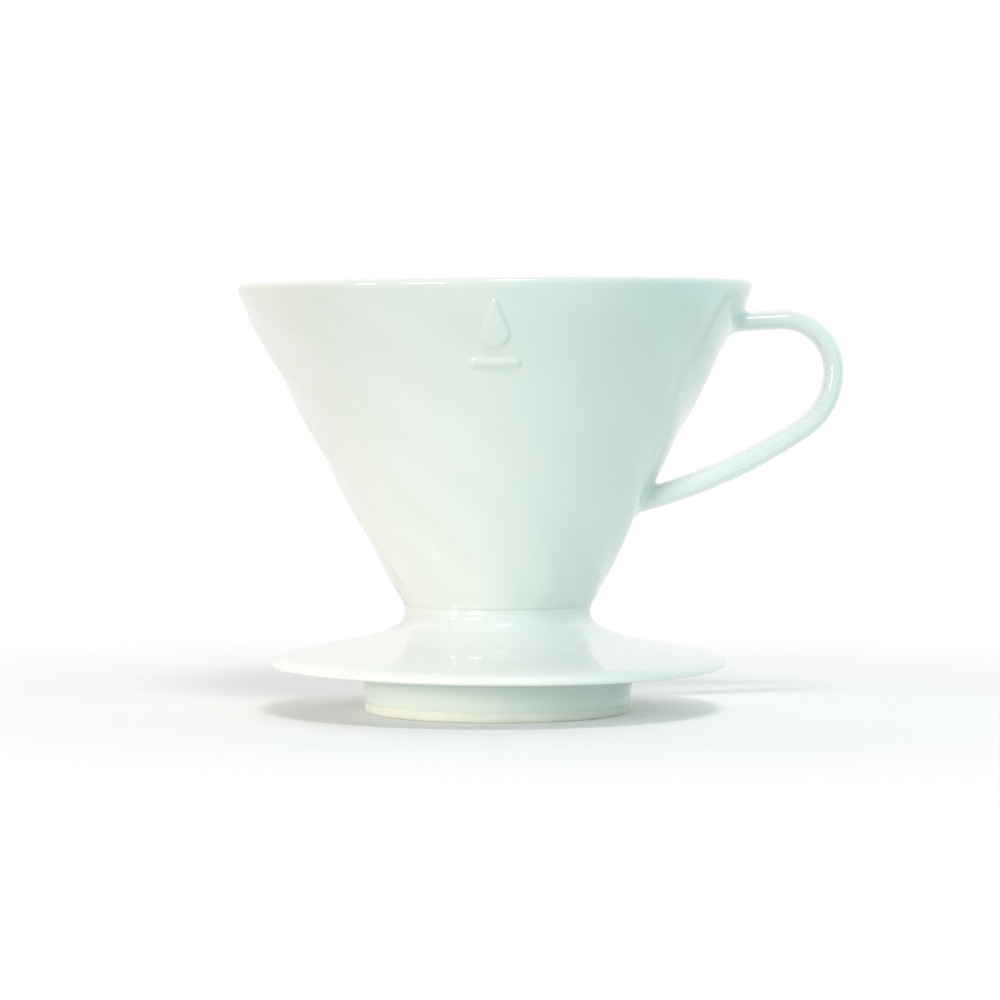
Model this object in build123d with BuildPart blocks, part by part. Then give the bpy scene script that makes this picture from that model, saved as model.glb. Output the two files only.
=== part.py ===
from build123d import *
from math import asin, atan2, cos, log, pi, radians, sin, tan
import os

# Pour-over coffee dripper in glazed porcelain. Units are millimetres, +Z is up, the
# origin is on the cone's axis in the plane that the foot stands on, and the handle
# points along +X. The clay pieces meet face to face, and beads of slip fill the
# corners between them.

# Cone, outside
rim_height = 100.5
rim_radius = 60.0
rim_turn_height = 99.2
shoulder_radius = 55.6
shoulder_height = 88.5
neck_top_radius = 22.4
neck_top_height = 25.0
lip_fillet = 1.2

# Cone, inside: it takes a 60 degree paper cone
filter_half_angle = radians(30)
mouth_inner_radius = 57.3
drip_hole_radius = 9.5
outlet_bottom = 9.0
outlet_tip_radius = 12.4
outlet_root_radius = 13.8
outlet_fillet = 1.0

# Spiral ribs on the inside wall: long ones, and a short one between each two. The lead is
# how far a rib goes round the wall for each millimetre that it climbs.
rib_radius = 1.5
long_rib_count = 12
rib_lead = 0.65
first_rib_angle = 0.1
long_rib_start = 21.0
short_rib_start = 58.0
rib_end = 95.0
rib_fade = 9.0
rib_path_points = 7

# Raised mark on the front of the cone: a drop above a short bar
mark_drop_height = 88.2
mark_drop_radius = 3.0
mark_drop_length = 7.6
mark_bar_height = 81.8
mark_bar_length = 11.0
mark_bar_width = 1.7
mark_relief = 0.55
mark_root = 1.2

# Base plate, a shallow saucer
plate_radius = 53.5
plate_underside = 10.5
plate_edge_top = 12.75
plate_edge_fillet = 1.05
saucer_slope = 0.175
saucer_break_radius = 47.5
saucer_break_height = 14.3
saucer_inner_radius = 34.0
neck_foot_radius = 24.4
neck_foot_height = 20.0

# Socket in the plate that holds the cone's tenon, and the hollow under it
tenon_radius = 17.5
tenon_top = 21.5
hollow_ceiling = 15.0
hollow_radius = 22.5

# Neck, the narrowest place on the outside
neck_radius = 21.85
neck_height = 23.4

# Foot ring
foot_outer_radius = 31.3
foot_inner_radius = 27.2
foot_edge_fillet = 1.2
foot_bead_start = 4.0
foot_bead_radius = 36.0
foot_rebate = 0.7
foot_socket_depth = 0.5

# Handle, a strap bent in one loop
strap_width = 9.6
strap_thickness = 4.8
strap_fillet = 2.1
strap_start = (52.8, 90.65)
strap_corner_start = (66.5, 91.3)
strap_corner_radius = 12.0
strap_corner_turn = 92.7
strap_elbow_radius = 16.0
strap_elbow_turn = 57.0
strap_arm_radius = 128.0
strap_arm_turn = 19.5

# Slip collars round the handle's roots, each centred where the strap meets the cone
upper_root = (56.9, 0, 90.84)
upper_root_slope = radians(2.7)
lower_root = (35.2, 0, 49.6)
lower_root_slope = radians(14.9)
root_bead_width = 2.0
root_bead_tip = 0.3
root_bead_depth = 1.0
root_bead_height = 2.4

wall_lean = atan2(shoulder_radius - neck_top_radius, shoulder_height - neck_top_height)
drip_hole_top = rim_height - (mouth_inner_radius - drip_hole_radius) / tan(filter_half_angle)
saucer_inner_height = saucer_break_height + saucer_slope * (saucer_break_radius - saucer_inner_radius)
foot_top = plate_underside + foot_socket_depth
foot_neck_radius = foot_outer_radius - foot_rebate

os.makedirs("parts", exist_ok=True)


def finish(builder, name):
    """Label one piece and write it to its own file."""
    builder.part.label = name
    export_step(builder.part, f"parts/{name}.step")


def outer_radius(height):
    """Radius of the straight part of the cone's outside at a height."""
    return neck_top_radius + (height - neck_top_height) * tan(wall_lean)


def inner_radius(height):
    """Radius of the cone's inside wall at a height."""
    return mouth_inner_radius - (rim_height - height) * tan(filter_half_angle)


def draw_outer_wall(shift=0.0):
    """Outside line of the cone from the neck to the rim, moved out by shift."""
    neck = (neck_top_radius + shift, neck_top_height)
    straight = Line(neck, (shoulder_radius + shift, shoulder_height))
    return straight, TangentArc(straight @ 1, (rim_radius + shift, rim_turn_height), tangent=straight % 1)


def rib_point(height, start_angle, start_height):
    """Point on a rib's centre line, a spiral that sinks into the wall at its ends."""
    wall = inner_radius(height)
    turn = rib_lead / tan(filter_half_angle) * log(wall / drip_hole_radius)
    from_end = min(height - start_height, rib_end - height) / rib_fade
    radius = wall + rib_radius * max(0.0, 1.0 - from_end) ** 2
    angle = start_angle - turn
    return (radius * cos(angle), radius * sin(angle), height)


def make_rib(start_angle, start_height):
    """One round-backed spiral rib."""
    rise = (rib_end - start_height) / (rib_path_points - 1)
    points = [
        rib_point(start_height + rise * index, start_angle, start_height)
        for index in range(rib_path_points)
    ]
    with BuildPart() as rib:
        with BuildLine() as rib_path:
            Spline(*points)
        with BuildSketch(Plane(origin=rib_path.line @ 0, z_dir=rib_path.line % 0)):
            Circle(rib_radius)
        sweep()
    return rib.part


def wall_plane(centre, distance):
    """Plane parallel to the cone's outside under the handle, a distance out from centre."""
    normal = Vector(cos(wall_lean), 0, -sin(wall_lean))
    return Plane(origin=Vector(centre) + normal * distance, x_dir=(0, 1, 0), z_dir=normal)


def make_root_bead(centre, strap_slope, name):
    """Slip collar round the strap where it leaves the cone, trimmed to both."""
    skew = wall_lean + strap_slope
    skewed_thickness = strap_thickness / cos(skew)
    with BuildPart() as bead:
        for distance, growth in ((-root_bead_depth, root_bead_width), (root_bead_height, root_bead_tip)):
            with BuildSketch(wall_plane(centre, distance)):
                with Locations((0, distance * tan(skew))):
                    Ellipse(strap_width / 2 + growth, skewed_thickness / 2 + growth)
        loft()
        add(cone_outside.part, mode=Mode.SUBTRACT)
        add(strap.part, mode=Mode.SUBTRACT)
    finish(bead, name)


# Outside of the cone as one full solid, used to trim the handle against
with BuildPart() as cone_outside:
    with BuildSketch(Plane.XZ):
        with BuildLine():
            straight, turn = draw_outer_wall()
            Polyline(turn @ 1, (0, rim_turn_height), (0, neck_top_height), straight @ 0)
        make_face()
    revolve(axis=Axis.Z)

# Raised mark: flat shapes cut out of a band that follows the cone's outside
with BuildPart() as raised_mark:
    drop_lean = asin(mark_drop_radius / mark_drop_length)
    with BuildSketch(Plane.XZ.offset(outer_radius(rim_height) + mark_relief)):
        with Locations((0, mark_drop_height)):
            Circle(mark_drop_radius)
            Polygon(
                (0, mark_drop_length),
                (-mark_drop_radius * cos(drop_lean), mark_drop_radius * sin(drop_lean)),
                (mark_drop_radius * cos(drop_lean), mark_drop_radius * sin(drop_lean)),
                align=None,
            )
        with Locations((0, mark_bar_height)):
            SlotOverall(mark_bar_length, mark_bar_width)
    extrude(amount=-neck_top_radius)
    with BuildSketch(Plane.XZ):
        with BuildLine():
            inside, inside_turn = draw_outer_wall(-mark_root)
            outside, outside_turn = draw_outer_wall(mark_relief)
            Line(inside @ 0, outside @ 0)
            Line(inside_turn @ 1, outside_turn @ 1)
        make_face()
    revolve(axis=Axis.Z, mode=Mode.INTERSECT)

rib_gap = 2 * pi / long_rib_count
ribs = []
for rib_index in range(long_rib_count):
    rib_angle = first_rib_angle + rib_gap * rib_index
    ribs.append(make_rib(rib_angle, long_rib_start))
    ribs.append(make_rib(rib_angle + rib_gap / 2, short_rib_start))

# Cone: shell with a rounded lip, outlet collar, ribs and mark
with BuildPart() as cone_body:
    with BuildSketch(Plane.XZ) as cone_section:
        with BuildLine():
            straight, turn = draw_outer_wall()
            Polyline(
                turn @ 1,
                (rim_radius, rim_height),
                (mouth_inner_radius, rim_height),
                (drip_hole_radius, drip_hole_top),
                (drip_hole_radius, outlet_bottom),
                (outlet_tip_radius, outlet_bottom),
                (outlet_root_radius, hollow_ceiling),
                (tenon_radius, hollow_ceiling),
                (tenon_radius, tenon_top),
                straight @ 0,
            )
        make_face()
        fillet(cone_section.vertices().group_by(Axis.Y)[-1], lip_fillet)
        fillet(cone_section.vertices().group_by(Axis.Y)[0], outlet_fillet)
    revolve(axis=Axis.Z)
    add(ribs)
    add(raised_mark.part)
finish(cone_body, "cone_body")

# Base plate
with BuildPart() as base_plate:
    with BuildSketch(Plane.XZ) as plate_section:
        with BuildLine():
            neck_fillet = TangentArc(
                (saucer_inner_radius, saucer_inner_height),
                (neck_foot_radius, neck_foot_height),
                tangent=(-1, saucer_slope),
            )
            Polyline(
                neck_fillet @ 1,
                (tenon_radius, tenon_top),
                (tenon_radius, hollow_ceiling),
                (hollow_radius, hollow_ceiling),
            )
            hollow_side = TangentArc(
                (hollow_radius, hollow_ceiling),
                (foot_inner_radius, foot_top),
                tangent=(1, 0),
            )
            Polyline(
                hollow_side @ 1,
                (foot_bead_radius, foot_top),
                (foot_bead_radius, plate_underside),
                (plate_radius, plate_underside),
                (plate_radius, plate_edge_top),
                (saucer_break_radius, saucer_break_height),
                neck_fillet @ 0,
            )
        make_face()
        fillet(plate_section.vertices().group_by(Axis.X)[-1], plate_edge_fillet)
    revolve(axis=Axis.Z)
finish(base_plate, "base_plate")

# Foot ring, with its top let into a shallow socket under the plate
with BuildPart() as foot_ring:
    with BuildSketch(Plane.XZ) as foot_section:
        with BuildLine():
            Polyline(
                (foot_inner_radius, 0),
                (foot_outer_radius, 0),
                (foot_outer_radius, foot_bead_start),
                (foot_neck_radius, foot_bead_start),
                (foot_neck_radius, foot_top),
                (foot_inner_radius, foot_top),
                close=True,
            )
        make_face()
        fillet(foot_section.vertices().group_by(Axis.Y)[0], foot_edge_fillet)
    revolve(axis=Axis.Z)
finish(foot_ring, "foot_ring")

# Slip bead in the corner between the foot ring and the plate
with BuildPart() as foot_slip_joint:
    with BuildSketch(Plane.XZ):
        with BuildLine():
            bead_face = TangentArc(
                (foot_outer_radius, foot_bead_start),
                (foot_bead_radius, plate_underside),
                tangent=(0, 1),
            )
            Polyline(
                bead_face @ 1,
                (foot_bead_radius, foot_top),
                (foot_neck_radius, foot_top),
                (foot_neck_radius, foot_bead_start),
                bead_face @ 0,
            )
        make_face()
    revolve(axis=Axis.Z)
finish(foot_slip_joint, "foot_slip_joint")

# Slip bead that fills the neck between the cone and the plate
with BuildPart() as neck_slip_joint:
    with BuildSketch(Plane.XZ):
        with BuildLine():
            neck_face = ThreePointArc(
                (neck_foot_radius, neck_foot_height),
                (neck_radius, neck_height),
                (neck_top_radius, neck_top_height),
            )
            Polyline(neck_face @ 1, (tenon_radius, tenon_top), neck_face @ 0)
        make_face()
    revolve(axis=Axis.Z)
finish(neck_slip_joint, "neck_slip_joint")

# Handle: a strap of constant section along one loop, before its ends are trimmed
with BuildPart() as strap:
    with BuildLine(Plane.XZ) as strap_path:
        top = Line(strap_start, strap_corner_start)
        corner = JernArc(top @ 1, top % 1, strap_corner_radius, -strap_corner_turn)
        elbow = JernArc(corner @ 1, corner % 1, strap_elbow_radius, -strap_elbow_turn)
        arm = JernArc(elbow @ 1, elbow % 1, strap_arm_radius, -strap_arm_turn)
    with BuildSketch(Plane(origin=strap_path.line @ 0, x_dir=(0, 1, 0), z_dir=strap_path.line % 0)):
        RectangleRounded(strap_width, strap_thickness, strap_fillet)
    sweep()

with BuildPart() as handle:
    add(strap.part)
    add(cone_outside.part, mode=Mode.SUBTRACT)
finish(handle, "handle")


# Slip collars round the handle's roots
make_root_bead(upper_root, upper_root_slope, "upper_handle_slip_joint")
make_root_bead(lower_root, lower_root_slope, "lower_handle_slip_joint")
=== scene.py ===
"""Looks of the pour-over dripper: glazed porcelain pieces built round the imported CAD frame."""

import math

import bmesh
import bpy
import numpy as np
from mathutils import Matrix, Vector


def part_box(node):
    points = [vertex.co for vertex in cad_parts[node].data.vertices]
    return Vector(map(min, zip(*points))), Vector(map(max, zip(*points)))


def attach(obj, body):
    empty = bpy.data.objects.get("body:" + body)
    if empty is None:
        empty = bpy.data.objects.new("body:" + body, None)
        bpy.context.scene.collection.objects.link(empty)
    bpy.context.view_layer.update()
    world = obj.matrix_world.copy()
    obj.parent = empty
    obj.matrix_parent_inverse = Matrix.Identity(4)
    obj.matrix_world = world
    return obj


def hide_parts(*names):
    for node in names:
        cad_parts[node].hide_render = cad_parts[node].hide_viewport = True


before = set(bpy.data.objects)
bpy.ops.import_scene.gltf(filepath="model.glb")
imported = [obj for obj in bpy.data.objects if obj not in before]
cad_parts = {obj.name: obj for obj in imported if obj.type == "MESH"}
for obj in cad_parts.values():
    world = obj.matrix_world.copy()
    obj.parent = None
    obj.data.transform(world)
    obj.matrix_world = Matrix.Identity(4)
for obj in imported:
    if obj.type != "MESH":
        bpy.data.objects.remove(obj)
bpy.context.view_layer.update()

MM = 0.001

# Every size below is in millimetres. The outer ones come from the CAD pieces.
cone_low, cone_high = [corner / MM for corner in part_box("cone_body")]
plate_low, plate_high = [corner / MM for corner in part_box("base_plate")]
foot_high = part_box("foot_ring")[1] / MM
foot_bead_low, foot_bead_high = [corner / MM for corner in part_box("foot_slip_joint")]
neck_low, neck_high = [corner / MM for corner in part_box("neck_slip_joint")]
handle_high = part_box("handle")[1] / MM

# Cone, outside: nearly straight, a little hollow, with a waist just above the neck bead
CONE_COLUMNS = 432
RIM_Z = cone_high.z
RIM_R = cone_high.x
LIP_START_Z = RIM_Z - 1.4
LIP_INNER_Z = RIM_Z - 1.3
SHOULDER_Z = 88.5
SHOULDER_R = 55.6
NECK_TOP_Z = neck_high.z
NECK_TOP_R = 22.4
WALL_SLOPE = (SHOULDER_R - NECK_TOP_R) / (SHOULDER_Z - NECK_TOP_Z)
SHOULDER_HEIGHT = LIP_START_Z - SHOULDER_Z
SHOULDER_BEND = (WALL_SLOPE * SHOULDER_HEIGHT - (RIM_R - SHOULDER_R)) / SHOULDER_HEIGHT**2
WALL_HOLLOW = 0.45
HOLLOW_RISE = 4.0
HOLLOW_FADE_Z = (RIM_Z - 16.0, RIM_Z - 3.0)
WAIST_DEPTH = 0.36
WAIST_Z = 25.6
WAIST_REACH = 2.2

# Cone, inside
FILTER_SLOPE = math.tan(math.radians(30))
MOUTH_R = 57.3
HOLE_R = 9.5
HOLE_TOP_Z = RIM_Z - (MOUTH_R - HOLE_R) / FILTER_SLOPE
HOLE_EDGE_Z = HOLE_TOP_Z + 1.1
HOLE_BORE_Z = HOLE_TOP_Z - 1.3
OUTLET_Z = cone_low.z
OUTLET_BORE_Z = OUTLET_Z + 1.2
OUTLET_EDGE_R = HOLE_R + 1.3
OUTLET_TIP_R = 12.4
OUTLET_ROOT_R = 13.8
HOLLOW_Z = 15.0
HOLLOW_R = 22.5
TENON_R = 17.5
TENON_TOP_Z = 21.5

# Spiral ribs
LONG_RIBS = 12
RIB_GAP = 2 * math.pi / LONG_RIBS
RIB_LEAD = 0.65
RIB_HEIGHT = 1.6
RIB_HALF_WIDTH = 2.2
RIB_FOOT_SHARE = 0.72
RIB_WIDENING = 0.28
RIB_WIDENING_Z = (20.0, 60.0)
FIRST_RIB = 0.1
LONG_RIB_START_Z = 20.0
LONG_RIB_FADE = 7.0
SHORT_RIB_START_Z = 57.0
SHORT_RIB_FADE = 9.0
RIB_END_Z = 96.0
RIB_END_FADE = 8.0

# Faint waves where the ribs print through to the outside
WAVE_HEIGHT = 0.26
WAVE_PITCH = 19.1
WAVE_CREST_Z = 33.4
WAVE_RISE_Z = (NECK_TOP_Z + 1, NECK_TOP_Z + 10)
WAVE_FADE_Z = (RIM_Z - 7, RIM_Z - 2)

# Raised drop and bar on the front
MARK_RELIEF = 0.5
DROP_Z = 88.2
DROP_R = 3.0
DROP_TIP_R = 0.35
DROP_LENGTH = 7.0
BAR_Z = 81.8
BAR_LENGTH = 11.0
BAR_WIDTH = 1.7
MARK_SOFTNESS = 0.55
MARK_HALF_ANGLE = math.radians(9.5)
MARK_ROWS_Z = (79.9, 97.0)

# Saucer
PLATE_R = plate_high.x
UNDERSIDE_Z = plate_low.z
SAUCER_SLOPE = 0.175
SAUCER_BREAK_R = 47.5
SAUCER_BREAK_Z = 14.3
SAUCER_INNER_R = 34.0
SAUCER_INNER_Z = SAUCER_BREAK_Z + SAUCER_SLOPE * (SAUCER_BREAK_R - SAUCER_INNER_R)
NECK_FOOT_R = neck_high.x
NECK_FOOT_Z = neck_low.z
BREAK_ROUNDING = 3
EDGE_R = PLATE_R - 1.6
EDGE_Z = SAUCER_BREAK_Z - 1.15
EDGE_LOW_Z = UNDERSIDE_Z + 1.05
EDGE_UNDER_R = PLATE_R - 1.5

# Foot ring
FOOT_R = foot_high.x
FOOT_INNER_R = 27.2
FOOT_BEAD_R = foot_bead_high.x
FOOT_BEAD_Z = foot_bead_low.z
BARE_Z = 2.3
INNER_BARE_Z = 1.6
GLAZE_STEP = 0.14
GLAZE_LINE_WAVES = ((0.14, 5, 0.4), (0.10, 13, 2.0), (0.05, 29, 0.0))

# Handle
STRAP_HALF_WIDTH = handle_high.y
STRAP_START = (52.8, 90.65)
STRAP_CORNER = (66.5, 91.3)
STRAP_ARCS = ((12.0, 92.7), (16.0, 57.0), (128.0, 19.5))
STRAP_SQUARENESS = 2.4
STRAP_NARROWING = 0.3
STRAP_HALF_DEPTH = 2.3
STRAP_THICKENING = 0.32
STRAP_END = 0.4
ROOT_FILLET = 1.9
ROOT_SEARCH = (-3.0, 9.0)

# How the fired piece has settled: the cone leans a little away from the handle
LEAN = -0.0085
LEAN_START_Z = 24.0
LEAN_FULL_Z = 44.0
SAUCER_WARP = 0.18

SHARP_ANGLE = math.radians(42)

# Glaze: roughness where it is thin and where it pooled
THIN_ROUGHNESS = 0.10
POOLED_ROUGHNESS = 0.05

# Studio, in metres
CAMERA_PLACE = (0.00054, -0.880, 0.0828)
CAMERA_AIM = (0.00054, 0.0, 0.0496)
LENS_MM = 135.2
FLOOR_FADE = (0.09, 0.24)

# Each side of the room: its direction, the cosine at which it is fully lit, and its colour
ROOM_SIDES = (
    ((0.8, -0.6, 0.0), 1.0, (0.41, 0.78, 0.77)),
    ((0.0, 1.0, 0.0), 0.55, (0.96, 0.95, 0.95)),
    ((0.0, 0.0, 1.0), 1.0, (0.31, 0.29, 0.28)),
)

# Each lamp: name, place, size, watts and colour
LAMPS = (
    ("strip_left", (-0.80, -0.52, 0.12), (0.12, 0.20), 3.3, (1.0, 0.93, 0.86)),
    ("soft_low", (-0.47, -0.82, 0.13), (0.30, 0.22), 2.1, (0.98, 1.0, 0.95)),
    ("soft_high", (0.12, -0.75, 0.95), (0.30, 0.08), 4.6, (1.0, 0.90, 0.92)),
)
LAMP_AIM = (0.0, 0.0, 0.03)


# ---------------------------------------------------------------- shape helpers

def ramp(value, low, high):
    """0 at low, 1 at high and smooth between."""
    part = np.clip((value - low) / (high - low), 0.0, 1.0)
    return part * part * (3.0 - 2.0 * part)


def curve(points, count):
    """Points along a Bezier curve of any degree, both ends included."""
    points = np.asarray(points, float)
    degree = len(points) - 1
    at = np.linspace(0.0, 1.0, count)[:, None]
    result = np.zeros((count, points.shape[1]))
    for index, point in enumerate(points):
        result += math.comb(degree, index) * at**index * (1.0 - at) ** (degree - index) * point
    return result


def chain(*stretches):
    """Joins stretches of outline, dropping each point that repeats the one before it."""
    points = [np.asarray(stretches[0], float)[0]]
    for stretch in stretches:
        for point in np.asarray(stretch, float):
            if np.linalg.norm(point - points[-1]) > 1e-6:
                points.append(point)
    if np.linalg.norm(points[0] - points[-1]) < 1e-6:
        points.pop()
    return np.array(points)


def settle(points):
    """Moves points the way the piece sagged in the kiln: a slight lean and a slightly wavy saucer."""
    x, y, z = points[..., 0], points[..., 1], points[..., 2]
    share = ramp(z, LEAN_START_Z, LEAN_FULL_Z)
    radius = np.hypot(x, y)
    around = np.arctan2(y, x)
    sag = SAUCER_WARP * np.sin(2 * around + 0.6) * ramp(radius, FOOT_BEAD_R, PLATE_R)
    sag = sag * (1.0 - ramp(z, SAUCER_INNER_Z, NECK_TOP_Z))
    moved = np.empty_like(points)
    moved[..., 0] = x + LEAN * share * (z - LEAN_START_Z)
    moved[..., 1] = y
    moved[..., 2] = z - LEAN * share * x + sag
    return moved


def glaze_depth_and_painted_light(points):
    """How thick the glaze lies, from 0 on edges to 1 in corners where it pooled. Lighter at the rim and the
    saucer's edge and darker in the crease at the neck; the darker band above the foot, under the saucer, is
    painted shade.
    """
    x, y, z = points[..., 0], points[..., 1], points[..., 2]
    radius = np.hypot(x, y)
    neck = np.exp(-(((radius - NECK_FOOT_R) / 5.0) ** 2) - ((z - NECK_FOOT_Z - 1.5) / 3.5) ** 2)
    # Painted shade: the band above the foot, under the saucer, gets the darker pooled colour.
    foot = np.exp(-(((radius - FOOT_R - 1.5) / 3.0) ** 2) - ((z - UNDERSIDE_Z + 1.0) / 3.0) ** 2)
    lip = np.exp(-(((z - RIM_Z) / 1.3) ** 2))
    edge = np.exp(-(((radius - PLATE_R) / 1.3) ** 2)) * (z < SAUCER_BREAK_Z)
    return np.clip(0.45 + 0.5 * neck + 0.5 * foot - 0.45 * lip - 0.4 * edge, 0.0, 1.0)


def skin(name, rows, materials, closed=True, depth=None, patch=None):
    """Mesh from a grid of points: columns wrap round, and rows do too if closed. Open ends get caps."""
    rows = np.asarray(rows, float)
    row_count, column_count = rows.shape[:2]
    points = rows.reshape(-1, 3)
    if depth is None:
        depth = glaze_depth_and_painted_light(points)
    row_pairs = row_count if closed else row_count - 1
    index = np.arange(row_count * column_count).reshape(row_count, column_count)
    here = index[:row_pairs]
    above = index[(np.arange(row_pairs) + 1) % row_count]
    faces = np.stack([here, np.roll(here, -1, 1), np.roll(above, -1, 1), above], -1).reshape(-1, 4).tolist()
    if not closed:
        faces.append(index[0][::-1].tolist())
        faces.append(index[-1].tolist())
    mesh = bpy.data.meshes.new(name)
    mesh.from_pydata((settle(points) * MM).tolist(), [], faces)
    for material in materials:
        mesh.materials.append(material)
    attribute = mesh.attributes.new("glaze_depth_and_painted_light", "FLOAT", "POINT")
    attribute.data.foreach_set("value", np.asarray(depth, np.float32).reshape(-1))
    if patch is not None:
        slots = np.zeros(len(mesh.polygons), np.int32)
        slots[: row_pairs * column_count] = np.asarray(patch, np.int32).reshape(-1)
        mesh.polygons.foreach_set("material_index", slots)
    work = bmesh.new()
    work.from_mesh(mesh)
    if work.calc_volume(signed=True) < 0:
        bmesh.ops.reverse_faces(work, faces=work.faces)
    for face in work.faces:
        face.smooth = True
    for edge in work.edges:
        edge.smooth = edge.calc_face_angle(0.0) < SHARP_ANGLE
    work.to_mesh(mesh)
    work.free()
    piece = bpy.data.objects.new(name, mesh)
    bpy.context.scene.collection.objects.link(piece)
    return piece


def lathe(name, outline, materials, columns=288):
    """Solid of revolution from a closed outline of (radius, height) points."""
    around = np.linspace(0.0, 2 * math.pi, columns, endpoint=False)
    radius = outline[:, 0][:, None]
    height = outline[:, 1][:, None] + 0.0 * around
    rows = np.stack([radius * np.cos(around), radius * np.sin(around), height], -1)
    return skin(name, rows, materials)


def place(piece, node):
    """Hands a finished piece to the frame in place of its CAD node."""
    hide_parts(node)
    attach(piece, "root")
    return piece


# ---------------------------------------------------------------- materials

def new_material(name):
    """New node material, its tree and its principled shader."""
    material = bpy.data.materials.new(name)
    material.use_nodes = True
    tree = material.node_tree
    return material, tree, tree.nodes["Principled BSDF"]


def feed(tree, socket, value):
    """Links a socket to another one, or sets its value."""
    if isinstance(value, bpy.types.NodeSocket):
        tree.links.new(value, socket)
    else:
        socket.default_value = value


def add_node(tree, kind, settings=None, **inputs):
    """Adds one node, sets its properties, and fills its inputs with values or links."""
    node = tree.nodes.new(kind)
    for key, value in (settings or {}).items():
        setattr(node, key, value)
    for key, value in inputs.items():
        feed(tree, node.inputs[key.replace("_", " ")], value)
    return node


def blend_colours(tree, share, first, second):
    """Mixes two colours, each a value or a socket, by a 0 to 1 socket."""
    node = tree.nodes.new("ShaderNodeMix")
    node.data_type = "RGBA"
    for index, value in ((0, share), (6, first), (7, second)):
        feed(tree, node.inputs[index], value)
    return node.outputs[2]


def remap(tree, value, low, high, to_low, to_high):
    """Clamped linear map of a socket."""
    node = add_node(tree, "ShaderNodeMapRange", Value=value)
    for index, number in enumerate((low, high, to_low, to_high), start=1):
        node.inputs[index].default_value = number
    return node.outputs[0]


def make_glaze(name, thin, pooled):
    """Glossy white glaze: one colour where thin, another where pooled, with specks and orange peel. Through
    the depth attribute the two colours also lay painted highlights and painted shade into the base colour.
    """
    material, tree, shader = new_material(name)
    place_at = add_node(tree, "ShaderNodeTexCoord").outputs["Object"]
    depth = add_node(tree, "ShaderNodeAttribute", {"attribute_name": "glaze_depth_and_painted_light"}).outputs["Fac"]
    cloud = add_node(tree, "ShaderNodeTexNoise", Vector=place_at, Scale=38.0, Detail=3.0).outputs["Fac"]
    uneven = add_node(
        tree, "ShaderNodeMath", {"operation": "MULTIPLY_ADD"}, Value=remap(tree, cloud, 0.3, 0.7, -0.18, 0.18)
    )
    uneven.inputs[1].default_value = 1.0
    tree.links.new(depth, uneven.inputs[2])
    # The depth attribute picks between the thin and pooled colours, so its painted highlights and painted
    # shade end up in the base colour.
    colour = blend_colours(tree, remap(tree, uneven.outputs[0], 0.0, 1.0, 0.0, 1.0), thin, pooled)

    pinhole = add_node(tree, "ShaderNodeTexVoronoi", Vector=place_at, Scale=210.0)
    dot = remap(tree, pinhole.outputs["Distance"], 0.03, 0.06, 1.0, 0.0)
    chosen = add_node(tree, "ShaderNodeSeparateColor", Color=pinhole.outputs["Color"]).outputs[0]
    rare = remap(tree, chosen, 0.90, 0.92, 0.0, 0.4)
    speck = add_node(tree, "ShaderNodeMath", {"operation": "MULTIPLY"}, Value=dot)
    tree.links.new(rare, speck.inputs[1])
    colour = blend_colours(tree, speck.outputs[0], colour, (0.42, 0.38, 0.30, 1.0))
    tree.links.new(colour, shader.inputs["Base Color"])

    roughness = remap(tree, uneven.outputs[0], 0.1, 0.9, THIN_ROUGHNESS, POOLED_ROUGHNESS)
    tree.links.new(roughness, shader.inputs["Roughness"])
    shader.inputs["IOR"].default_value = 1.52
    shader.inputs["Coat Weight"].default_value = 0.35
    shader.inputs["Coat Roughness"].default_value = 0.03

    swell = add_node(tree, "ShaderNodeTexNoise", Vector=place_at, Scale=60.0, Detail=1.0).outputs["Fac"]
    peel = add_node(tree, "ShaderNodeTexNoise", Vector=place_at, Scale=420.0, Detail=2.0).outputs["Fac"]
    broad = add_node(tree, "ShaderNodeBump", Height=swell, Strength=1.0, Distance=0.00007).outputs[0]
    fine = add_node(tree, "ShaderNodeBump", Height=peel, Strength=1.0, Distance=0.000006, Normal=broad)
    tree.links.new(fine.outputs[0], shader.inputs["Normal"])
    return material


def make_bisque():
    """Bare fired clay where the glaze was wiped off so that the foot wouldn't stick."""
    material, tree, shader = new_material("bare_bisque")
    place_at = add_node(tree, "ShaderNodeTexCoord").outputs["Object"]
    grain = add_node(tree, "ShaderNodeTexNoise", Vector=place_at, Scale=1500.0, Detail=4.0).outputs["Fac"]
    stain = add_node(tree, "ShaderNodeTexNoise", Vector=place_at, Scale=130.0, Detail=3.0).outputs["Fac"]
    clay = blend_colours(
        tree, remap(tree, stain, 0.35, 0.7, 0.0, 1.0), (0.86, 0.85, 0.77, 1.0), (0.80, 0.80, 0.71, 1.0)
    )
    clay = blend_colours(tree, remap(tree, grain, 0.55, 0.8, 0.0, 0.35), clay, (0.52, 0.50, 0.40, 1.0))
    tree.links.new(clay, shader.inputs["Base Color"])
    tree.links.new(remap(tree, grain, 0.3, 0.7, 0.62, 0.82), shader.inputs["Roughness"])
    bump = add_node(tree, "ShaderNodeBump", Height=grain, Strength=1.0, Distance=0.00005)
    tree.links.new(bump.outputs[0], shader.inputs["Normal"])
    return material


cone_glaze = make_glaze("cone_glaze", (0.83, 0.83, 0.785, 1.0), (0.78, 0.81, 0.765, 1.0))
plate_glaze = make_glaze("plate_glaze", (0.84, 0.84, 0.81, 1.0), (0.79, 0.82, 0.79, 1.0))
# Painted shade: the foot's glaze is darker and more teal than the rest, for the shade under the saucer.
foot_glaze = make_glaze("foot_glaze", (0.78, 0.81, 0.74, 1.0), (0.68, 0.77, 0.72, 1.0))
# Painted light: the handle's glaze is lighter than the cone's.
handle_glaze = make_glaze("handle_glaze", (0.92, 0.91, 0.88, 1.0), (0.86, 0.87, 0.84, 1.0))
bisque = make_bisque()


# ---------------------------------------------------------------- cone

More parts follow.
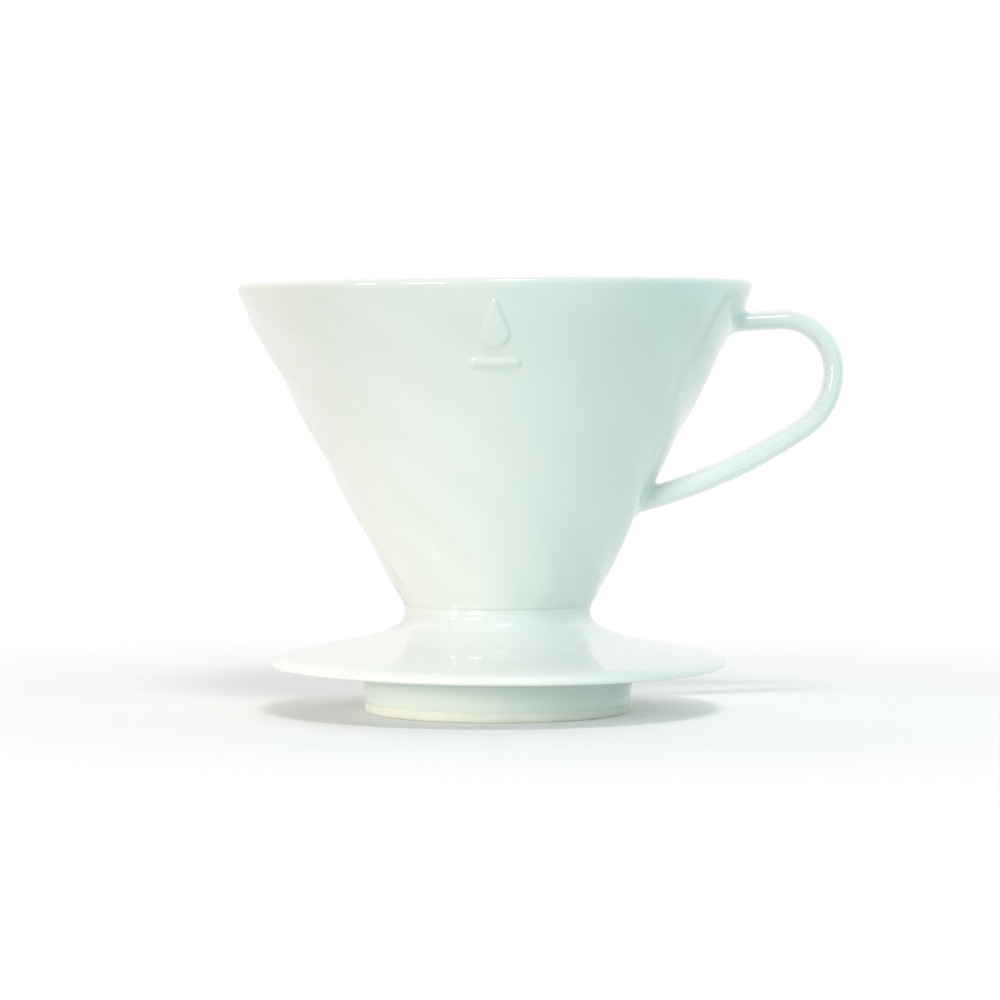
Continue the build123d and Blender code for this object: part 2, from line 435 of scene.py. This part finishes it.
def outer_radius(z):
    """Outside of the cone with its hollow and waist, without its waves."""
    over = np.maximum(z - SHOULDER_Z, 0.0)
    up = z - NECK_TOP_Z
    hollow = WALL_HOLLOW * (1.0 - np.exp(-up / HOLLOW_RISE)) * (1.0 - ramp(z, *HOLLOW_FADE_Z))
    waist = WAIST_DEPTH * np.exp(-(((z - WAIST_Z) / WAIST_REACH) ** 2))
    return NECK_TOP_R + WALL_SLOPE * up - SHOULDER_BEND * over**2 - hollow - waist


def inner_radius(z):
    """Inside wall of the cone between the ribs."""
    return MOUTH_R - (RIM_Z - z) * FILTER_SLOPE


def rib_turn(z):
    """How far the ribs have turned round the axis at a height."""
    return RIB_LEAD / FILTER_SLOPE * np.log(inner_radius(z) / HOLE_R)


def wave(around, z):
    """Faint spiral swell on the outside, strongest between the neck and the rim."""
    phase = LONG_RIBS * around + 2 * math.pi * (z - WAVE_CREST_Z) / WAVE_PITCH
    fade = ramp(z, *WAVE_RISE_Z) * (1.0 - ramp(z, *WAVE_FADE_Z))
    return WAVE_HEIGHT * fade * np.cos(phase)


def drop_distance(x, y):
    """Distance outside the drop: a large circle and a small one joined by their tangents."""
    x = np.abs(x)
    lean = (DROP_R - DROP_TIP_R) / DROP_LENGTH
    side = math.sqrt(1.0 - lean * lean)
    along = -lean * x + side * y
    bottom = np.hypot(x, y) - DROP_R
    top = np.hypot(x, y - DROP_LENGTH) - DROP_TIP_R
    flank = side * x + lean * y - DROP_R
    return np.where(along < 0, bottom, np.where(along > side * DROP_LENGTH, top, flank))


def mark(around, z):
    """Height of the raised drop and bar on the front."""
    x = outer_radius(z) * (np.mod(around + 1.5 * math.pi, 2 * math.pi) - math.pi)
    drop = drop_distance(x, z - DROP_Z)
    bar = np.hypot(np.maximum(np.abs(x) - (BAR_LENGTH - BAR_WIDTH) / 2, 0.0), z - BAR_Z) - BAR_WIDTH / 2
    distance = np.minimum(drop, bar)
    return MARK_RELIEF * (1.0 - ramp(distance, -MARK_SOFTNESS, MARK_SOFTNESS))


def rib_bump(turns, z):
    """How far the ribs stand in from the wall, with columns that turn with the ribs."""
    radius = inner_radius(z)
    lean = math.cos(math.atan(RIB_LEAD * math.cos(math.atan(FILTER_SLOPE))))
    start = FIRST_RIB - rib_turn(LIP_INNER_Z)
    width = RIB_HALF_WIDTH * (RIB_FOOT_SHARE + RIB_WIDENING * ramp(z, *RIB_WIDENING_Z))
    long_ribs = (0.0, LONG_RIB_START_Z, LONG_RIB_FADE)
    short_ribs = (RIB_GAP / 2, SHORT_RIB_START_Z, SHORT_RIB_FADE)
    result = 0.0
    for shift, start_z, fade in (long_ribs, short_ribs):
        offset = np.mod(turns - start - shift + RIB_GAP / 2, RIB_GAP) - RIB_GAP / 2
        away = np.clip(np.abs(offset) * radius * lean / width, 0.0, 1.0)
        strength = ramp(z, start_z, start_z + fade) * (1.0 - ramp(z, RIB_END_Z - RIB_END_FADE, RIB_END_Z))
        result = result + RIB_HEIGHT * strength * np.cos(away * math.pi / 2) ** 2
    return result


def ring(radius, z, around):
    """One row of points at a height."""
    return np.stack([radius * np.cos(around), radius * np.sin(around), z + 0.0 * around], -1)


def make_cone():
    """Shell with waves and the mark outside, ribs inside, a rounded lip and the outlet collar."""
    front = -math.pi / 2
    turns = np.linspace(0.0, 2 * math.pi, CONE_COLUMNS, endpoint=False)
    from_front = np.abs(np.mod(turns - front + math.pi, 2 * math.pi) - math.pi)
    near = turns[from_front < MARK_HALF_ANGLE]
    step = turns[1]
    # The columns are three times as close across the mark.
    turns = np.sort(np.concatenate([turns, near + step / 3, near + step * 2 / 3]))

    rows = []
    depth = []

    def add_row(radius, z, around):
        rows.append(ring(radius, z, around))
        depth.append(glaze_depth_and_painted_light(rows[-1]))

    plain_wall = np.linspace(NECK_TOP_Z, 79.5, 52)
    marked_wall = np.linspace(*MARK_ROWS_Z, 46)
    for z in np.concatenate([plain_wall, marked_wall, [98.0, LIP_START_Z]]):
        relief = mark(turns, z)
        add_row(outer_radius(z) + wave(turns, z) + relief, z, turns)
        depth[-1] = depth[-1] - 0.5 * relief / MARK_RELIEF

    lip_r = inner_radius(LIP_INNER_Z)
    crest = (RIM_R - 1.3, RIM_Z)
    lip = chain(
        curve([(RIM_R, LIP_START_Z), (RIM_R + 0.05, RIM_Z - 0.6), (RIM_R - 0.3, RIM_Z), crest], 7),
        curve([crest, (RIM_R - 2.4, RIM_Z), (lip_r + 0.6, RIM_Z - 0.25), (lip_r, LIP_INNER_Z)], 7),
    )
    for radius, z in lip[1:]:
        add_row(radius, z, turns)

    full_turn = rib_turn(LIP_INNER_Z)
    hole_turn = rib_turn(HOLE_EDGE_Z)
    for z in np.linspace(LIP_INNER_Z, HOLE_EDGE_Z, 72)[1:]:
        bump = rib_bump(turns, z)
        add_row(inner_radius(z) - bump, z, turns + full_turn - rib_turn(z))
        depth[-1] = 0.62 - 0.55 * bump / RIB_HEIGHT

    edge = (OUTLET_EDGE_R, OUTLET_Z)
    collar = (OUTLET_TIP_R + 0.3, OUTLET_Z + 1.5)
    outlet = chain(
        curve([(inner_radius(HOLE_EDGE_Z), HOLE_EDGE_Z), (HOLE_R, HOLE_TOP_Z), (HOLE_R, HOLE_BORE_Z)], 5),
        [(HOLE_R, z) for z in np.linspace(HOLE_BORE_Z, OUTLET_BORE_Z, 5)],
        curve([(HOLE_R, OUTLET_BORE_Z), (HOLE_R, OUTLET_Z), edge], 5),
        curve([edge, (OUTLET_TIP_R, OUTLET_Z), collar], 6),
        curve([collar, (OUTLET_ROOT_R, HOLLOW_Z), (TENON_R, HOLLOW_Z)], 9),
    )
    for radius, z in outlet[1:]:
        add_row(radius, z, turns + full_turn - hole_turn)

    # The tenon is hidden in the plate, and here the columns turn back to where they began.
    for share in np.linspace(0.0, 1.0, 14)[1:]:
        z = HOLLOW_Z + share * (TENON_TOP_Z - HOLLOW_Z)
        add_row(TENON_R, z, turns + (full_turn - hole_turn) * (1.0 - share))
    piece = skin("cone_body_glazed", rows, [cone_glaze], depth=np.array(depth))
    return place(piece, "cone_body")


# ---------------------------------------------------------------- neck, saucer and foot

def saucer_start():
    """Direction of the saucer's upper curve where the neck bead begins, pointing up and in."""
    chord = math.atan2(NECK_FOOT_Z - SAUCER_INNER_Z, SAUCER_INNER_R - NECK_FOOT_R)
    angle = 2 * chord - math.atan(SAUCER_SLOPE)
    return np.array([-math.cos(angle), math.sin(angle)])


def make_neck():
    """Bead that carries the saucer's curve up into the cone without a seam."""
    foot = np.array([NECK_FOOT_R, NECK_FOOT_Z])
    top = np.array([outer_radius(NECK_TOP_Z), NECK_TOP_Z])
    wall = np.array([outer_radius(NECK_TOP_Z + 0.1), NECK_TOP_Z + 0.1]) - top
    wall = wall / np.linalg.norm(wall)
    outline = chain(
        curve([foot, foot + 1.5 * saucer_start(), top - 3.3 * wall, top], 19),
        [top, (TENON_R, TENON_TOP_Z), foot],
    )
    return place(lathe("neck_slip_joint_glazed", outline, [plate_glaze]), "neck_slip_joint")


def make_plate():
    """Saucer with a thin rounded edge."""
    foot = np.array([NECK_FOOT_R, NECK_FOOT_Z])
    inner = np.array([SAUCER_INNER_R, SAUCER_INNER_Z])
    fall = np.array([1.0, -SAUCER_SLOPE])
    straight = SAUCER_BREAK_R - SAUCER_INNER_R - BREAK_ROUNDING
    edge = np.array([EDGE_R, EDGE_Z])
    outline = chain(
        curve([foot, foot - 3.4 * saucer_start(), inner - 3.2 * fall, inner], 14),
        [inner + share * straight * fall for share in np.linspace(0, 1, 8)],
        curve(
            [
                inner + straight * fall,
                inner + (SAUCER_BREAK_R - SAUCER_INNER_R) * fall,
                edge + (-1.5, 0.5),
                edge,
            ],
            7,
        ),
        curve([edge, edge + (1.2, -0.4), (PLATE_R, UNDERSIDE_Z + 1.6), (PLATE_R, EDGE_LOW_Z)], 7),
        curve([(PLATE_R, EDGE_LOW_Z), (PLATE_R, UNDERSIDE_Z), (EDGE_UNDER_R, UNDERSIDE_Z)], 7),
        [(radius, UNDERSIDE_Z) for radius in np.linspace(EDGE_UNDER_R, FOOT_BEAD_R, 9)],
        [(FOOT_BEAD_R, UNDERSIDE_Z + 0.4), (FOOT_INNER_R, UNDERSIDE_Z + 0.4)],
        curve([(FOOT_INNER_R, UNDERSIDE_Z + 0.5), (FOOT_INNER_R - 0.3, HOLLOW_Z), (HOLLOW_R, HOLLOW_Z)], 9),
        [(TENON_R, HOLLOW_Z), (TENON_R, TENON_TOP_Z)],
    )
    return place(lathe("base_plate_glazed", outline, [plate_glaze], 360), "base_plate")


def make_foot_bead():
    """Concave bead between the foot ring and the saucer."""
    outline = chain(
        curve(
            [
                (FOOT_R, FOOT_BEAD_Z),
                (FOOT_R + 0.05, FOOT_BEAD_Z + 3.2),
                (FOOT_R + 1.4, UNDERSIDE_Z),
                (FOOT_BEAD_R, UNDERSIDE_Z),
            ],
            13,
        ),
        [(FOOT_BEAD_R, UNDERSIDE_Z + 0.4), (FOOT_R - 0.6, UNDERSIDE_Z + 0.4), (FOOT_R - 0.6, FOOT_BEAD_Z)],
    )
    return place(lathe("foot_slip_joint_glazed", outline, [foot_glaze]), "foot_slip_joint")


def make_foot():
    """Foot ring with a wiped, unglazed standing edge below an uneven glaze line."""
    columns = 360
    around = np.linspace(0.0, 2 * math.pi, columns, endpoint=False)
    uneven = sum(height * np.sin(count * around + shift) for height, count, shift in GLAZE_LINE_WAVES)
    line = BARE_Z + uneven
    inner_line = INNER_BARE_Z + 0.7 * uneven
    bare_r = FOOT_R - GLAZE_STEP
    inner_bare_r = FOOT_INNER_R + GLAZE_STEP
    rows = []
    bare = []

    def add_row(radius, z, is_bare):
        rows.append(ring(radius, z, around))
        bare.append(is_bare)

    for share in np.linspace(0.0, 1.0, 6):
        add_row(FOOT_R, line + 0.5 + (FOOT_BEAD_Z - line - 0.5) * (1.0 - share), 0)
    # The glaze ends in a slight roll that stands proud of the bare clay.
    add_row(FOOT_R + 0.03, line + 0.22, 0)
    add_row(FOOT_R - 0.04, line + 0.04, 0)
    add_row(bare_r, line, 1)
    outer_edge = curve([(bare_r, 1.3), (bare_r, 0.0), (FOOT_R - 1.4, 0.0)], 7)
    inner_edge = curve([(FOOT_INNER_R + 1.3, 0.0), (inner_bare_r, 0.0), (inner_bare_r, 1.0)], 6)
    for radius, z in [*outer_edge, *inner_edge]:
        add_row(radius, z, 1)
    add_row(inner_bare_r, inner_line, 0)
    add_row(FOOT_INNER_R, inner_line + 0.2, 0)
    for z in np.linspace(3.2, UNDERSIDE_Z + 0.5, 5):
        add_row(FOOT_INNER_R, z, 0)
    add_row(FOOT_R - 0.7, UNDERSIDE_Z + 0.5, 0)
    add_row(FOOT_R - 0.7, FOOT_BEAD_Z, 0)
    patch = np.repeat(np.array(bare)[:, None], columns, axis=1)
    piece = skin("foot_ring_glazed", rows, [foot_glaze, bisque], patch=patch)
    return place(piece, "foot_ring")


# ---------------------------------------------------------------- handle

def strap_line():
    """Centre line of the strap as distance, (radius, height) points and directions, top to bottom."""
    start = np.array(STRAP_START)
    corner = np.array(STRAP_CORNER)
    heading = math.atan2(*(corner - start)[::-1])
    points = [start + share * (corner - start) for share in np.linspace(0.0, 1.0, 24)]
    headings = [heading] * 24
    here = corner
    for radius, turn in STRAP_ARCS:
        steps = max(int(radius * math.radians(turn) / 0.6), 12)
        centre = here + radius * np.array([math.sin(heading), -math.cos(heading)])
        for angle in heading - np.linspace(0.0, math.radians(turn), steps)[1:]:
            points.append(centre + radius * np.array([-math.sin(angle), math.cos(angle)]))
            headings.append(angle)
        heading = headings[-1]
        here = points[-1]
    points = np.array(points)
    travelled = np.concatenate([[0.0], np.cumsum(np.linalg.norm(np.diff(points, axis=0), axis=1))])
    return travelled, points, np.array(headings)


STRAP = strap_line()
STRAP_LENGTH = STRAP[0][-1]


def strap_surface(along, section, grow=0.0, shrink=1.0):
    """Points on the strap's skin at distances along it and at section angles."""
    travelled, points, headings = STRAP
    centre_x = np.interp(along, travelled, points[:, 0])
    centre_z = np.interp(along, travelled, points[:, 1])
    heading = np.interp(along, travelled, headings)
    past_end = along - np.clip(along, 0.0, STRAP_LENGTH)
    centre_x = centre_x + past_end * np.cos(heading)
    centre_z = centre_z + past_end * np.sin(heading)
    share = along / STRAP_LENGTH
    roots = ramp(np.abs(share - 0.5), 0.22, 0.46)
    half_width = STRAP_HALF_WIDTH - STRAP_NARROWING * (1.0 - roots)
    half_depth = STRAP_HALF_DEPTH + STRAP_THICKENING * ramp(share, 0.35, 0.75)
    power = 2.0 / STRAP_SQUARENESS
    across = np.sign(np.cos(section)) * np.abs(np.cos(section)) ** power
    out = np.sign(np.sin(section)) * np.abs(np.sin(section)) ** power
    y = shrink * half_width * across + grow * np.cos(section)
    lift = shrink * half_depth * out + grow * np.sin(section)
    return np.stack([centre_x - lift * np.sin(heading), y, centre_z + lift * np.cos(heading)], -1)


def outside_wall(points):
    """How far points stand out of the cone's wall."""
    x, y, z = points[..., 0], points[..., 1], points[..., 2]
    return np.hypot(x, y) - outer_radius(z) - wave(np.arctan2(y, x), z)


def meet_wall(inside, outside, section, grow=0.0):
    """Distance along the strap at which each of its section lines comes out of the wall."""
    low = np.full(section.shape, float(inside))
    high = np.full(section.shape, float(outside))
    for _ in range(36):
        middle = (low + high) / 2
        buried = outside_wall(strap_surface(middle, section, grow)) < 0
        low = np.where(buried, middle, low)
        high = np.where(buried, high, middle)
    return (low + high) / 2


def sunk(points, depth):
    """Points moved towards the cone's axis."""
    radius = np.hypot(points[..., 0], points[..., 1])[..., None]
    return points - depth * np.concatenate([points[..., :2] / radius, 0.0 * radius], -1)


def make_handle():
    """Flat strap with rounded edges that runs out of the wall and back into it."""
    section = np.linspace(0.0, 2 * math.pi, 72, endpoint=False)
    stations = np.linspace(STRAP_END, STRAP_LENGTH - STRAP_END, 176)
    rows = [strap_surface(along + 0.0 * section, section) for along in stations]
    # Painted highlights: the strap's side edges get the lighter thin-glaze colour.
    edges = 0.5 - 0.35 * np.abs(np.cos(section)) ** 3
    depth = np.repeat(edges[None, :], len(rows), axis=0)
    piece = skin("handle_glazed", rows, [handle_glaze], closed=False, depth=depth)
    return place(piece, "handle")


def make_root(name, node, inside, outside):
    """Bead of slip round one end of the strap, from the wall's surface to the strap's."""
    section = np.linspace(0.0, 2 * math.pi, 96, endpoint=False)
    away = math.copysign(1.0, outside - inside)
    exit_at = meet_wall(inside, outside, section)
    corner = strap_surface(exit_at, section)
    wall_at = meet_wall(inside, outside, section, grow=ROOT_FILLET)
    wall = sunk(strap_surface(wall_at, section, grow=ROOT_FILLET), 0.03)
    strap = strap_surface(exit_at + away * ROOT_FILLET, section, grow=-0.02)
    rows = []
    for share in np.linspace(0.0, 1.0, 11):
        rows.append((1 - share) ** 2 * wall + 2 * share * (1 - share) * corner + share**2 * strap)
    # The rest of the bead is hidden inside the strap and the wall.
    rows.append(strap_surface(exit_at + away * (ROOT_FILLET - 0.3), section, shrink=0.7))
    rows.append(sunk(strap_surface(exit_at, section, shrink=0.7), 1.0))
    rows.append(sunk(wall, 0.9))
    # Painted shade: the root bead gets the darker pooled colour in the crease round the strap's end.
    depth = np.full((len(rows), len(section)), 0.85)
    depth[0] = depth[10] = 0.5
    piece = skin(name, rows, [handle_glaze], depth=depth)
    return place(piece, node)


# ---------------------------------------------------------------- build

make_cone()
make_neck()
make_plate()
make_foot_bead()
make_foot()
make_handle()
make_root("upper_handle_slip_joint_glazed", "upper_handle_slip_joint", *ROOT_SEARCH)
make_root(
    "lower_handle_slip_joint_glazed",
    "lower_handle_slip_joint",
    STRAP_LENGTH - ROOT_SEARCH[0],
    STRAP_LENGTH - ROOT_SEARCH[1],
)


# ---------------------------------------------------------------- studio

def make_floor():
    """Plain white table that fades out round the object."""
    work = bmesh.new()
    bmesh.ops.create_circle(work, cap_ends=True, segments=96, radius=4.0)
    mesh = bpy.data.meshes.new("floor")
    work.to_mesh(mesh)
    work.free()
    floor = bpy.data.objects.new("floor", mesh)
    bpy.context.scene.collection.objects.link(floor)
    material, tree, shader = new_material("white_table")
    place_at = add_node(tree, "ShaderNodeTexCoord").outputs["Object"]
    grain = add_node(tree, "ShaderNodeTexNoise", Vector=place_at, Scale=3.0).outputs["Fac"]
    tone = blend_colours(tree, grain, (0.90, 0.90, 0.90, 1.0), (0.92, 0.92, 0.92, 1.0))
    tree.links.new(tone, shader.inputs["Base Color"])
    shader.inputs["Roughness"].default_value = 0.9
    shader.inputs["Specular IOR Level"].default_value = 0.1
    shader.inputs["Emission Color"].default_value = (1.0, 0.93, 0.93, 1.0)
    shader.inputs["Emission Strength"].default_value = 0.08
    reach = add_node(tree, "ShaderNodeVectorMath", {"operation": "LENGTH"})
    tree.links.new(place_at, reach.inputs[0])
    clear = add_node(tree, "ShaderNodeBsdfTransparent")
    faded = remap(tree, reach.outputs["Value"], *FLOOR_FADE, 0.0, 1.0)
    fade = add_node(tree, "ShaderNodeMixShader", Fac=faded)
    tree.links.new(shader.outputs[0], fade.inputs[1])
    tree.links.new(clear.outputs[0], fade.inputs[2])
    tree.links.new(fade.outputs[0], tree.nodes["Material Output"].inputs["Surface"])
    mesh.materials.append(material)


def make_world():
    """Room lit from its sides, teal from the right. The camera itself sees plain white."""
    world = bpy.data.worlds.new("studio")
    world.use_nodes = True
    bpy.context.scene.world = world
    tree = world.node_tree
    shader = tree.nodes["Background"]
    direction = add_node(tree, "ShaderNodeTexCoord").outputs["Generated"]
    colour = (0.0, 0.0, 0.0)
    for side, full, glow in ROOM_SIDES:
        facing = add_node(tree, "ShaderNodeVectorMath", {"operation": "DOT_PRODUCT"})
        tree.links.new(direction, facing.inputs[0])
        facing.inputs[1].default_value = Vector(side).normalized()
        share = remap(tree, facing.outputs["Value"], 0.0, full, 0.0, 1.0)
        sum_up = add_node(tree, "ShaderNodeVectorMath", {"operation": "MULTIPLY_ADD"})
        tree.links.new(share, sum_up.inputs[0])
        sum_up.inputs[1].default_value = glow
        feed(tree, sum_up.inputs[2], colour)
        colour = sum_up.outputs["Vector"]
    seen = add_node(tree, "ShaderNodeLightPath").outputs["Is Camera Ray"]
    tree.links.new(blend_colours(tree, seen, colour, (1.0, 1.0, 1.0, 1.0)), shader.inputs["Color"])


def make_lamp(name, position, size, watts, colour):
    """Rectangular soft box that faces the object."""
    light = bpy.data.lights.new(name, "AREA")
    light.shape = "RECTANGLE"
    light.size, light.size_y = size
    light.energy = watts
    light.color = colour
    lamp = bpy.data.objects.new(name, light)
    lamp.location = position
    lamp.rotation_euler = (Vector(LAMP_AIM) - Vector(position)).to_track_quat("-Z", "Y").to_euler()
    bpy.context.scene.collection.objects.link(lamp)


def make_camera():
    """Long lens a little above the table, level with the handle."""
    camera = bpy.data.cameras.new("camera")
    camera.sensor_width = 36.0
    camera.lens = LENS_MM
    holder = bpy.data.objects.new("camera", camera)
    holder.location = CAMERA_PLACE
    holder.rotation_euler = (Vector(CAMERA_AIM) - Vector(CAMERA_PLACE)).to_track_quat("-Z", "Y").to_euler()
    bpy.context.scene.collection.objects.link(holder)
    bpy.context.scene.camera = holder


make_floor()
make_world()
for lamp_facts in LAMPS:
    make_lamp(*lamp_facts)
make_camera()
bpy.context.scene.view_settings.view_transform = "Standard"
